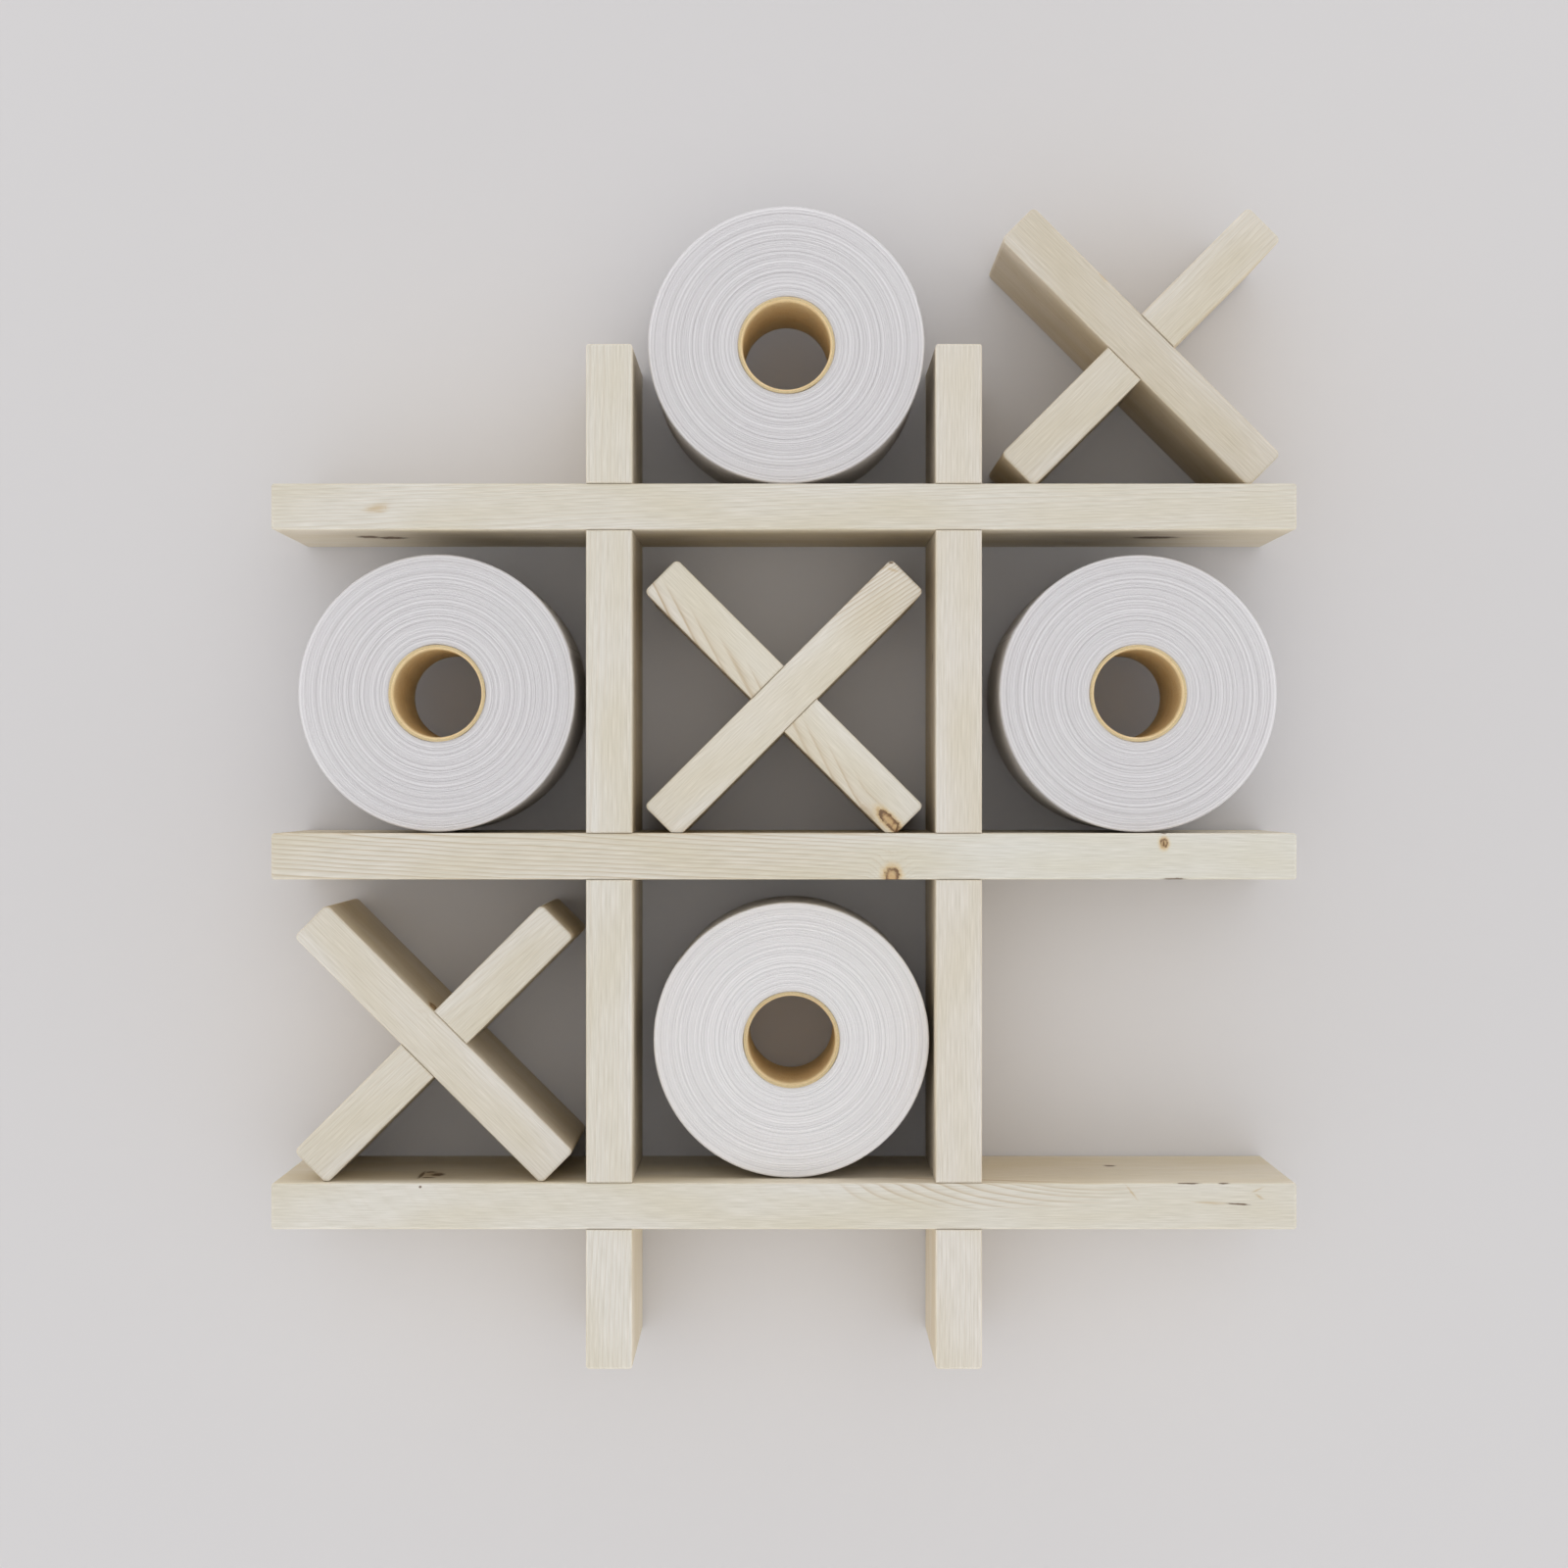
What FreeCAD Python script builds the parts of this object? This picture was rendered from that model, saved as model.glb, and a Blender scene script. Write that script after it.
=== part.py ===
import FreeCAD, Part
import math
import os
import Sketcher
from FreeCAD import Rotation, Vector

# A wall-hung noughts-and-crosses grid that stores toilet rolls, in millimetres.
# Three shelves and two uprights lock together with halving slots. Loose crosses and rolls stand
# in the cells. The grid hangs on two wall screws by keyhole plates let into its back.
# The wall is the plane y = 0 and the front faces -Y. +X is to the right seen from the front and
# +Z is up. The origin lies on the wall, midway between the two keyholes.

SIZES = [
    # The boards of the grid
    ("board_thickness", 19, "thickness of the shelves and uprights"),
    ("board_depth", 114, "from the wall to the front of the grid"),
    ("cell_clearance", 10, "room that a cell leaves round a roll, across and upwards"),
    ("shelf_reach", 4.5, "how far a shelf runs past the outer cells"),
    ("upright_reach", 57.5, "how far an upright runs past the top and bottom shelves"),
    ("edge_round", 1.2, "round on the edges of every board and bar"),
    ("slot_mouth", 0.6, "legs of the chamfer at the mouth of a halving slot"),
    ("halving_clearance", 0.15, "gap between a slot and the board that fills it"),
    # The keyhole plates and their screws
    ("keyhole_drop", 33, "from the top of an upright down to the keyhole"),
    ("keyhole_diameter", 9, "round entry of the keyhole, which passes a screw head"),
    ("keyslot_width", 4.5, "slot above the entry, which the screw shank slides up"),
    ("keyslot_travel", 10, "from the middle of the entry up to the seated screw"),
    ("hanger_width", 14, "width of a keyhole plate"),
    ("hanger_length", 42, "height of a keyhole plate"),
    ("hanger_thickness", 2, "thickness of a keyhole plate"),
    ("hanger_clearance", 0.15, "gap round a keyhole plate in its recess"),
    ("head_pocket_width", 11, "room behind the plate for the screw head, across"),
    ("head_pocket_depth", 10, "room behind the plate for the screw head, from the wall"),
    ("fixing_pitch", 32, "between the two wood screws of a plate"),
    ("fixing_hole", 3.4, "hole in the plate for a wood screw"),
    ("screw_shank", 3, "shank diameter of a wood screw"),
    ("screw_head", 6, "head diameter of a wood screw"),
    ("screw_length", 16, "length of a wood screw"),
    ("screw_point", 3, "length of its point"),
    ("screw_sink", 0.1, "how far the head lies below the back of the plate"),
    ("screw_clearance", 0.1, "gap round a wood screw in its holes"),
    ("drive_span", 3.2, "across the cross recess in a screw head"),
    ("drive_width", 0.8, "width of each slot of that recess"),
    ("drive_depth", 1.2, "depth of that recess"),
    # The crosses
    ("cross_clearance", 9.5, "room that a cell leaves round a cross, across and upwards"),
    ("cross_thickness", 19, "thickness of a cross bar"),
    ("cross_setback", 5, "from the front of the grid back to a cross"),
    ("cross_wall_gap", 1, "between the back of a cross and the wall"),
    ("cross_corner_round", 2.2, "round on the four corners at the ends of a cross bar"),
    ("foot_leg", 1.7, "legs of the corner cut off where a cross stands"),
    ("worn_foot_leg", 3.6, "the same on the cross in the middle"),
    ("cross_top_right_gap", 8.2, "between the right upright and the cross"),
    ("cross_bottom_left_gap", 5.4, "between the left upright and the cross"),
    # The rolls
    ("roll_diameter", 115, "outside diameter of the wound paper"),
    ("roll_length", 96, "length of a roll, which is the width of its sheets"),
    ("roll_round", 0.8, "round on the rims of the wound paper"),
    ("core_diameter", 40, "outside diameter of the card core"),
    ("core_wall", 1.1, "wall of the card core"),
    ("core_clearance", 0.1, "gap between the core and the paper"),
    ("roll_top_shift", 1, "to the right of the middle of its cell"),
    ("roll_top_setback", 7, "from the front of the grid back to the roll"),
    ("roll_left_gap", 4.45, "between the left upright and the roll"),
    ("roll_left_setback", 6, "from the front of the grid back to the roll"),
    ("roll_right_gap", 7.45, "between the right upright and the roll"),
    ("roll_right_setback", 6, "from the front of the grid back to the roll"),
    ("roll_bottom_shift", 3.1, "to the right of the middle of its cell"),
    ("roll_bottom_setback", 17, "from the front of the grid back to the roll"),
    # Shared by all the pieces
    ("rest_gap", 0.3, "between a loose piece and the shelf that it stands on"),
    ("overrun", 5, "how far a cut runs past the face that it opens"),
]

doc = FreeCAD.newDocument("roll_grid")
sheet = doc.addObject("Spreadsheet::Sheet", "sizes")
for row, (alias, number, note) in enumerate(SIZES, 1):
    sheet.set(f"A{row}", str(number))
    sheet.setAlias(f"A{row}", alias)
    sheet.set(f"B{row}", note)
doc.recompute()

# Places worked out from the sizes, as expressions
CELL = "(sizes.roll_diameter + sizes.cell_clearance)"
UPRIGHT_X = f"({CELL} + sizes.board_thickness) / 2"
SHELF_PITCH = f"({CELL} + sizes.board_thickness)"
HALF_SHELF = f"({UPRIGHT_X} + sizes.board_thickness / 2 + {CELL} + sizes.shelf_reach)"
HALF_UPRIGHT = f"({SHELF_PITCH} + sizes.board_thickness / 2 + sizes.upright_reach)"
GRID_MIDDLE_Z = f"(sizes.keyhole_drop - {HALF_UPRIGHT})"
SLOT_WIDTH = "(sizes.board_thickness + 2 * sizes.halving_clearance)"
HALF_DEPTH = "(sizes.board_depth / 2)"
PLATE_MIDDLE_Z = "(sizes.keyslot_travel / 2)"
PLATE_REACH = "(sizes.hanger_length - sizes.hanger_width) / 2"
LEAN_ANGLE = 45  # degrees, of the bars of a cross
CROSS_REACH = f"(({CELL} - sizes.cross_clearance) / 2)"
CROSS_LENGTH = f"(2 * {CROSS_REACH} / sin({LEAN_ANGLE} deg) - sizes.cross_thickness)"
CROSS_DEPTH = "(sizes.board_depth - sizes.cross_setback - sizes.cross_wall_gap)"

# Rows count up from the middle shelf
ROWS = {"top": 1, "middle": 0, "bottom": -1}
SIDES = {"left": -1, "right": 1}
ENDS = {"upper": 1, "lower": -1}
nodes = []


def shelf_middle_z(row):
    return f"({GRID_MIDDLE_Z} + {row} * {SHELF_PITCH})"


def shelf_top_z(row):
    return f"({shelf_middle_z(row)} + sizes.board_thickness / 2)"


def beside_upright(side_name, gap, half_width):
    outer_face = f"{UPRIGHT_X} + sizes.board_thickness / 2"
    return f"{SIDES[side_name]} * ({outer_face} + {gap} + {half_width})"


def fixing_z(end):
    return f"({PLATE_MIDDLE_Z} + {end} * sizes.fixing_pitch / 2)"


def value(expression):
    return sheet.evalExpression(expression)


def new_body(label):
    body = doc.addObject("PartDesign::Body", label)
    nodes.append(body)
    return body


def new_sketch(body, plane, name):
    sketch = body.newObject("Sketcher::SketchObject", f"{body.Name}_{name}")
    support = next(f for f in body.Origin.OriginFeatures if f.Role == plane)
    sketch.AttachmentSupport = [(support, "")]
    sketch.MapMode = "FlatFace"
    return sketch


def constrain(sketch, name, expression, kind, *where):
    """One named size of a sketch, driven by an expression."""
    sketch.addConstraint(Sketcher.Constraint(kind, *where, sketch.evalExpression(expression)))
    sketch.renameConstraint(sketch.ConstraintCount - 1, name)
    sketch.setExpression(f"Constraints.{name}", expression)


def add_polygon(sketch, name, points):
    """Straight lines through corners that are pairs of expressions, each corner held in place."""
    places = [Vector(sketch.evalExpression(x), sketch.evalExpression(y)) for x, y in points]
    first = sketch.GeometryCount
    count = len(points)
    for i, start in enumerate(places):
        sketch.addGeometry(Part.LineSegment(start, places[(i + 1) % count]))
    for i, (x, y) in enumerate(points):
        line, following = first + i, first + (i + 1) % count
        sketch.addConstraint(Sketcher.Constraint("Coincident", line, 2, following, 1))
        constrain(sketch, f"{name}_x{i}", x, "DistanceX", -1, 1, line, 1)
        constrain(sketch, f"{name}_y{i}", y, "DistanceY", -1, 1, line, 1)


def add_rectangle(sketch, name, left, right, low, high):
    add_polygon(sketch, name, [(left, low), (right, low), (right, high), (left, high)])


def slot_corners(middle, width, floor, mouth, outward):
    """A halving slot with a chamfered mouth, as pairs of places along and across the slot."""
    half = f"{width} / 2"
    neck = f"{mouth} - {outward} * sizes.slot_mouth"
    past = f"{mouth} + {outward} * sizes.overrun"
    flare = f"({half} + sizes.slot_mouth + sizes.overrun)"
    return [
        (floor, f"{middle} - {half}"),
        (neck, f"{middle} - {half}"),
        (past, f"{middle} - {flare}"),
        (past, f"{middle} + {flare}"),
        (neck, f"{middle} + {half}"),
        (floor, f"{middle} + {half}"),
    ]


def add_circle(sketch, name, height, diameter):
    """A circle on the vertical axis of the sketch."""
    middle = Vector(0, sketch.evalExpression(height))
    radius = sketch.evalExpression(diameter) / 2
    circle = sketch.addGeometry(Part.Circle(middle, Vector(0, 0, 1), radius))
    sketch.addConstraint(Sketcher.Constraint("PointOnObject", circle, 3, -2))
    constrain(sketch, f"{name}_height", height, "DistanceY", -1, 1, circle, 3)
    constrain(sketch, f"{name}_diameter", diameter, "Diameter", circle)


def add_obround(sketch, name, low, high, width):
    """An upright slot on the vertical axis, with the middles of its round ends at low and high."""
    radius = sketch.evalExpression(width) / 2
    bottom, top = Vector(0, sketch.evalExpression(low)), Vector(0, sketch.evalExpression(high))
    side = Vector(radius, 0)
    upper = sketch.addGeometry(Part.ArcOfCircle(Part.Circle(top, Vector(0, 0, 1), radius), 0, math.pi))
    left = sketch.addGeometry(Part.LineSegment(top - side, bottom - side))
    lower = sketch.addGeometry(
        Part.ArcOfCircle(Part.Circle(bottom, Vector(0, 0, 1), radius), math.pi, 2 * math.pi)
    )
    right = sketch.addGeometry(Part.LineSegment(bottom + side, top + side))
    for one, other in [(upper, left), (left, lower), (lower, right), (right, upper)]:
        sketch.addConstraint(Sketcher.Constraint("Tangent", one, 2, other, 1))
    for arc, height, end in [(upper, high, "top"), (lower, low, "bottom")]:
        sketch.addConstraint(Sketcher.Constraint("PointOnObject", arc, 3, -2))
        constrain(sketch, f"{name}_{end}", height, "DistanceY", -1, 1, arc, 3)
    constrain(sketch, f"{name}_width", width, "Diameter", upper)


def pad(body, sketch, length, both_ways=False):
    feature = body.newObject("PartDesign::Pad", f"{sketch.Name}_pad")
    feature.Profile = sketch
    feature.SideType = "Symmetric" if both_ways else "One side"
    feature.setExpression("Length", length)
    doc.recompute()
    return feature


def pocket(body, sketch, depth, both_ways=False):
    """A cut that must take something away: from the wall plane inwards, or both ways from the middle."""
    before = body.Shape.Volume
    feature = body.newObject("PartDesign::Pocket", f"{sketch.Name}_cut")
    feature.Profile = sketch
    feature.SideType = "Symmetric" if both_ways else "One side"
    feature.Reversed = not both_ways
    feature.setExpression("Length", depth)
    doc.recompute()
    if not body.Shape.Volume < before:
        raise RuntimeError(f"{feature.Name} cuts nothing")
    return feature


def dress(body, kind, name, size_property, size, wanted):
    """A fillet or chamfer on the edges of the body that pass a test."""
    base = body.Tip
    edges = [f"Edge{i}" for i, edge in enumerate(base.Shape.Edges, 1) if wanted(edge)]
    feature = body.newObject(f"PartDesign::{kind}", f"{body.Name}_{name}")
    feature.Base = (base, edges)
    feature.setExpression(size_property, size)
    doc.recompute()
    return feature


def round_edges(body, name, size, wanted):
    return dress(body, "Fillet", name, "Radius", size, wanted)


def every_edge(edge):
    return True


def runs_front_to_back(edge):
    box = edge.BoundBox
    return box.YLength > box.XLength + box.ZLength


def is_circle(edge, diameter):
    return isinstance(edge.Curve, Part.Circle) and math.isclose(2 * edge.Curve.Radius, value(diameter))


def place(thing, x, y, z):
    for axis, expression in zip("xyz", (x, y, z)):
        thing.setExpression(f"Placement.Base.{axis}", expression)


# Each shelf is one board, slotted from the back to half its depth for the two uprights
def make_shelf(row_name, row):
    body = new_body(f"shelf_{row_name}")
    board = new_sketch(body, "XY_Plane", "board")
    add_rectangle(board, "board", f"-{HALF_SHELF}", HALF_SHELF, "-sizes.board_depth", "0")
    pad(body, board, "sizes.board_thickness", both_ways=True)
    round_edges(body, "eased_edges", "sizes.edge_round", every_edge)
    slots = new_sketch(body, "XY_Plane", "slots")
    for side_name, side in SIDES.items():
        floor = f"-{HALF_DEPTH} - sizes.halving_clearance"
        corners = slot_corners(f"{side} * {UPRIGHT_X}", SLOT_WIDTH, floor, "0", 1)
        add_polygon(slots, side_name, [(across, along) for along, across in corners])
    pocket(body, slots, "sizes.board_thickness + 2 * sizes.overrun", both_ways=True)
    place(body, "0", "0", shelf_middle_z(row))


# Each upright is slotted from the front to half its depth for the three shelves
def make_upright(side_name, side):
    body = new_body(f"upright_{side_name}")
    board = new_sketch(body, "XZ_Plane", "board")
    half = "sizes.board_thickness / 2"
    low = f"sizes.keyhole_drop - 2 * {HALF_UPRIGHT}"
    add_rectangle(board, "board", f"-{half}", half, low, "sizes.keyhole_drop")
    pad(body, board, "sizes.board_depth")
    round_edges(body, "eased_edges", "sizes.edge_round", every_edge)
    slots = new_sketch(body, "YZ_Plane", "slots")
    for row_name, row in ROWS.items():
        floor = f"-{HALF_DEPTH} + sizes.halving_clearance"
        corners = slot_corners(shelf_middle_z(row), SLOT_WIDTH, floor, "-sizes.board_depth", -1)
        add_polygon(slots, row_name, corners)
    pocket(body, slots, "sizes.board_thickness + 2 * sizes.overrun", both_ways=True)
    cut_hanger_seat(body)
    place(body, f"{side} * {UPRIGHT_X}", "0", "0")


# The back edge of an upright takes the plate flush, with room behind it for the screw head
def cut_hanger_seat(body):
    recess = new_sketch(body, "XZ_Plane", "plate_recess")
    low, high = f"{PLATE_MIDDLE_Z} - {PLATE_REACH}", f"{PLATE_MIDDLE_Z} + {PLATE_REACH}"
    add_obround(recess, "recess", low, high, "sizes.hanger_width + 2 * sizes.hanger_clearance")
    pocket(body, recess, "sizes.hanger_thickness")
    room = new_sketch(body, "XZ_Plane", "head_pocket")
    add_obround(room, "room", "0", "sizes.keyslot_travel", "sizes.head_pocket_width")
    pocket(body, room, "sizes.head_pocket_depth")
    pilots = new_sketch(body, "XZ_Plane", "pilot_holes")
    for end_name, end in ENDS.items():
        add_circle(pilots, end_name, fixing_z(end), "sizes.screw_shank + 2 * sizes.screw_clearance")
    pocket(body, pilots, "sizes.screw_sink + sizes.screw_length + sizes.screw_clearance")


# A keyhole plate: the screw head goes in at the round entry and the shank slides up the slot
def make_hanger(side_name, side):
    body = new_body(f"keyhole_hanger_{side_name}")
    plate = new_sketch(body, "XZ_Plane", "plate")
    low, high = f"{PLATE_MIDDLE_Z} - {PLATE_REACH}", f"{PLATE_MIDDLE_Z} + {PLATE_REACH}"
    add_obround(plate, "plate", low, high, "sizes.hanger_width")
    pad(body, plate, "sizes.hanger_thickness")
    through = "sizes.hanger_thickness + sizes.overrun"
    entry = new_sketch(body, "XZ_Plane", "entry")
    add_circle(entry, "entry", "0", "sizes.keyhole_diameter")
    pocket(body, entry, through)
    keyslot = new_sketch(body, "XZ_Plane", "keyslot")
    add_obround(keyslot, "keyslot", "0", "sizes.keyslot_travel", "sizes.keyslot_width")
    pocket(body, keyslot, through)
    fixings = new_sketch(body, "XZ_Plane", "fixing_holes")
    for end_name, end in ENDS.items():
        add_circle(fixings, end_name, fixing_z(end), "sizes.fixing_hole")
    pocket(body, fixings, through)

    def fixing_rim(edge):
        at_back = edge.BoundBox.YMin > value("-sizes.hanger_thickness / 2")
        return at_back and is_circle(edge, "sizes.fixing_hole")

    sink = "(sizes.screw_head - sizes.fixing_hole) / 2 + sizes.screw_clearance + sizes.screw_sink"
    dress(body, "Chamfer", "countersinks", "Size", sink, fixing_rim)
    place(body, f"{side} * {UPRIGHT_X}", "0", "0")


# A countersunk wood screw with a cross recess stands along -Y, its head just below the back of
# the plate
def make_screw(name, x, z):
    head_height = "(sizes.screw_head - sizes.screw_shank) / 2"
    along = Rotation(Vector(1, 0, 0), 90)
    head = doc.addObject("Part::Cone", f"{name}_head")
    head.setExpression("Radius1", "sizes.screw_head / 2")
    head.setExpression("Radius2", "sizes.screw_shank / 2")
    head.setExpression("Height", head_height)
    shank = doc.addObject("Part::Cylinder", f"{name}_shank")
    shank.setExpression("Radius", "sizes.screw_shank / 2")
    shank.setExpression("Height", "sizes.screw_length - sizes.screw_point")
    point = doc.addObject("Part::Cone", f"{name}_point")
    point.setExpression("Radius1", "sizes.screw_shank / 2")
    point.Radius2 = 0
    point.setExpression("Height", "sizes.screw_point")
    starts = {head: "0", shank: "0", point: "sizes.screw_length - sizes.screw_point"}
    for piece, start in starts.items():
        piece.Placement.Rotation = along
        place(piece, x, f"-sizes.screw_sink - ({start})", z)
    solid = doc.addObject("Part::MultiFuse", f"{name}_solid")
    solid.Shapes = [head, shank, point]
    slots = []
    for turn, (across, upward) in {"level": ("span", "width"), "plumb": ("width", "span")}.items():
        slot = doc.addObject("Part::Box", f"{name}_{turn}_slot")
        slot.setExpression("Length", f"sizes.drive_{across}")
        slot.setExpression("Width", "sizes.drive_depth + sizes.overrun")
        slot.setExpression("Height", f"sizes.drive_{upward}")
        left, low = f"{x} - sizes.drive_{across} / 2", f"{z} - sizes.drive_{upward} / 2"
        place(slot, left, "-sizes.screw_sink - sizes.drive_depth", low)
        slots.append(slot)
    recess = doc.addObject("Part::MultiFuse", f"{name}_recess")
    recess.Shapes = slots
    screw = doc.addObject("Part::Cut", name)
    screw.Base, screw.Tool = solid, recess
    return screw


# Identical fasteners share one node
def make_hanger_screws():
    screws = []
    for side_name, side in SIDES.items():
        for end_name, end in ENDS.items():
            name = f"screw_{side_name}_{end_name}"
            screws.append(make_screw(name, f"{side} * {UPRIGHT_X}", fixing_z(end)))
    group = doc.addObject("Part::Compound", "hanger_screws")
    group.Links = screws
    nodes.append(group)


# One bar of a cross lies along its own X. It is halved at the middle, from the back on the bar
# that runs through in front and from the front on the other. lean is 1 where the bar falls to
# the right and -1 where it rises, and its lower corner is cut flat to stand on.
def make_cross_bar(label, lean, runs_through, foot, x, z):
    body = new_body(label)
    bar = new_sketch(body, "XZ_Plane", "bar")
    half_length, half_thickness = f"{CROSS_LENGTH} / 2", "sizes.cross_thickness / 2"
    add_rectangle(bar, "bar", f"-{half_length}", half_length, f"-{half_thickness}", half_thickness)
    pad(body, bar, CROSS_DEPTH)
    round_edges(body, "corners", "sizes.cross_corner_round", runs_front_to_back)
    round_edges(body, "eased_edges", "sizes.edge_round", lambda edge: not runs_front_to_back(edge))
    slot = new_sketch(body, "XY_Plane", "slot")
    outward = 1 if runs_through else -1
    floor = f"-{CROSS_DEPTH} / 2 - {outward} * sizes.halving_clearance"
    mouth = "0" if runs_through else f"-{CROSS_DEPTH}"
    width = "(sizes.cross_thickness + 2 * sizes.halving_clearance)"
    corners = slot_corners("0", width, floor, mouth, outward)
    add_polygon(slot, "slot", [(across, along) for along, across in corners])
    pocket(body, slot, "sizes.cross_thickness + 2 * sizes.overrun", both_ways=True)
    corner = new_sketch(body, "XZ_Plane", "foot")
    corner_x, corner_z = f"{lean} * {half_length}", f"-{half_thickness}"
    add_polygon(
        corner,
        "foot",
        [
            (f"{corner_x} - {lean} * {foot}", corner_z),
            (corner_x, f"{corner_z} + {foot}"),
            (f"{corner_x} + {lean} * sizes.overrun", f"{corner_z} - sizes.overrun"),
        ],
    )
    pocket(body, corner, f"2 * ({CROSS_DEPTH} + sizes.overrun)", both_ways=True)
    body.Placement.Rotation = Rotation(Vector(0, 1, 0), lean * LEAN_ANGLE)
    place(body, x, "-sizes.cross_wall_gap", z)


def make_cross(name, x, row, front_lean, foot):
    rise = f"({CROSS_REACH} - {foot} * sin({LEAN_ANGLE} deg))"
    z = f"{shelf_top_z(row)} + sizes.rest_gap + {rise}"
    make_cross_bar(f"{name}_front_bar", front_lean, True, foot, x, z)
    make_cross_bar(f"{name}_rear_bar", -front_lean, False, foot, x, z)


# A roll lies with its axis along Y: wound paper round a card core
def make_roll(name, x, row):
    y = f"-sizes.board_depth + sizes.{name}_setback + sizes.roll_length"
    z = f"{shelf_top_z(row)} + sizes.rest_gap + sizes.roll_diameter / 2"
    paper = new_body(f"{name}_paper")
    rings = new_sketch(paper, "XZ_Plane", "rings")
    add_circle(rings, "outside", "0", "sizes.roll_diameter")
    add_circle(rings, "bore", "0", "sizes.core_diameter + 2 * sizes.core_clearance")
    pad(paper, rings, "sizes.roll_length")
    round_edges(paper, "rims", "sizes.roll_round", lambda edge: is_circle(edge, "sizes.roll_diameter"))
    core = new_body(f"{name}_core")
    tube = new_sketch(core, "XZ_Plane", "tube")
    add_circle(tube, "outside", "0", "sizes.core_diameter")
    add_circle(tube, "inside", "0", "sizes.core_diameter - 2 * sizes.core_wall")
    pad(core, tube, "sizes.roll_length")
    for body in (paper, core):
        place(body, x, y, z)


for row_name, row in ROWS.items():
    make_shelf(row_name, row)
for side_name, side in SIDES.items():
    make_upright(side_name, side)
    make_hanger(side_name, side)
make_hanger_screws()
x = beside_upright("right", "sizes.cross_top_right_gap", CROSS_REACH)
make_cross("cross_top_right", x, ROWS["top"], 1, "sizes.foot_leg")
make_cross("cross_centre", "0", ROWS["middle"], -1, "sizes.worn_foot_leg")
x = beside_upright("left", "sizes.cross_bottom_left_gap", CROSS_REACH)
make_cross("cross_bottom_left", x, ROWS["bottom"], 1, "sizes.foot_leg")
make_roll("roll_top", "sizes.roll_top_shift", ROWS["top"])
x = beside_upright("left", "sizes.roll_left_gap", "sizes.roll_diameter / 2")
make_roll("roll_left", x, ROWS["middle"])
x = beside_upright("right", "sizes.roll_right_gap", "sizes.roll_diameter / 2")
make_roll("roll_right", x, ROWS["middle"])
make_roll("roll_bottom", "sizes.roll_bottom_shift", ROWS["bottom"])
doc.recompute()

# Nothing is written unless every feature is sound
for thing in doc.Objects:
    if "Invalid" in thing.State or "Error" in thing.State:
        raise RuntimeError(f"{thing.Name} failed: {thing.State}")
for node in nodes:
    if node.Shape.isNull() or not node.Shape.isValid():
        raise RuntimeError(f"{node.Label} has no sound solid")
os.makedirs("parts", exist_ok=True)
for node in nodes:
    node.Shape.exportStep(f"parts/{node.Label}.step")
    print(node.Label, len(node.Shape.Solids), "solids", round(node.Shape.Volume), "mm3")
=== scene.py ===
# %% [markdown]
# # A toilet roll holder laid out as a noughts-and-crosses board
# Three shelves and two uprights of planed spruce lock into a grid that hangs flat on a wall. Toilet
# rolls stand in its cells as the noughts and loose wooden crosses as the crosses.
#
# The CAD model already has every board, bar and fitting at its real size, so it is loaded first and
# stays as it is. Blender could model the boards again, but their shapes are right, so this lesson
# spends its effort on what CAD leaves plain: the wood, the wound paper, the card and the steel.

# %% Load the CAD model as a fixed frame
import math

import bpy
import numpy as np
from mathutils import Euler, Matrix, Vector


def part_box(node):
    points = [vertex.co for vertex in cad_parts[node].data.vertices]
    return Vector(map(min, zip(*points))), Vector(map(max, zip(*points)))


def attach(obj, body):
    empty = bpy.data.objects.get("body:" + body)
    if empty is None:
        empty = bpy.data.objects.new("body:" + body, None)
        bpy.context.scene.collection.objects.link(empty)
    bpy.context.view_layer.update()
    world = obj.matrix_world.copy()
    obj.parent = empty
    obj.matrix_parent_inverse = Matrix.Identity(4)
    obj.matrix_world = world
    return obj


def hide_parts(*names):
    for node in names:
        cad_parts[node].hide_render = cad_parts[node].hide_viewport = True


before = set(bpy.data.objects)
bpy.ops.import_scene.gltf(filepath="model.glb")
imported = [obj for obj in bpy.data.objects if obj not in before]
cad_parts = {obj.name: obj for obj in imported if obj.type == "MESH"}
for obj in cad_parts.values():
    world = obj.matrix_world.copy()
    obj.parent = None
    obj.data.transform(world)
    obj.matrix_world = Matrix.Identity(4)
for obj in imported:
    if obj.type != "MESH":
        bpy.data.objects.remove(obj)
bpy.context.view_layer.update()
scene = bpy.context.scene
MM = 0.001  # the frame is in metres, and sizes here are thought of in millimetres

# %% [markdown]
# ## The camera
# The grid is seen square-on from a little above its middle shelf, so the underside of the top shelf
# and the top of the bottom shelf both show. A long lens from 1.65 m keeps the uprights parallel.
# The lens could be guessed by eye, but here it follows from how fast the boards narrow towards the
# wall.

# %% Set up the camera
CAMERA_DISTANCE = 1652 * MM  # from the wall
CAMERA_HEIGHT = -148.2 * MM  # the zero height is at the keyholes
CAMERA_LENS = 85.8  # mm

camera = bpy.data.objects.new("camera", bpy.data.cameras.new("camera"))
camera.data.lens = CAMERA_LENS
camera.location = (0, -CAMERA_DISTANCE, CAMERA_HEIGHT)
camera.rotation_euler = (math.radians(90), 0, 0)
scene.collection.objects.link(camera)
scene.camera = camera
print("camera", round(camera.data.lens, 1), "mm, looking straight at the wall")

# %% [markdown]
# ## Helpers for materials
# Colours are written as sRGB hex values, as a paint chart gives them, and Blender's sockets want
# linear light, so one function converts them. A second function adds any node with its settings and
# links in one call, which keeps a material readable from top to bottom.


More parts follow.
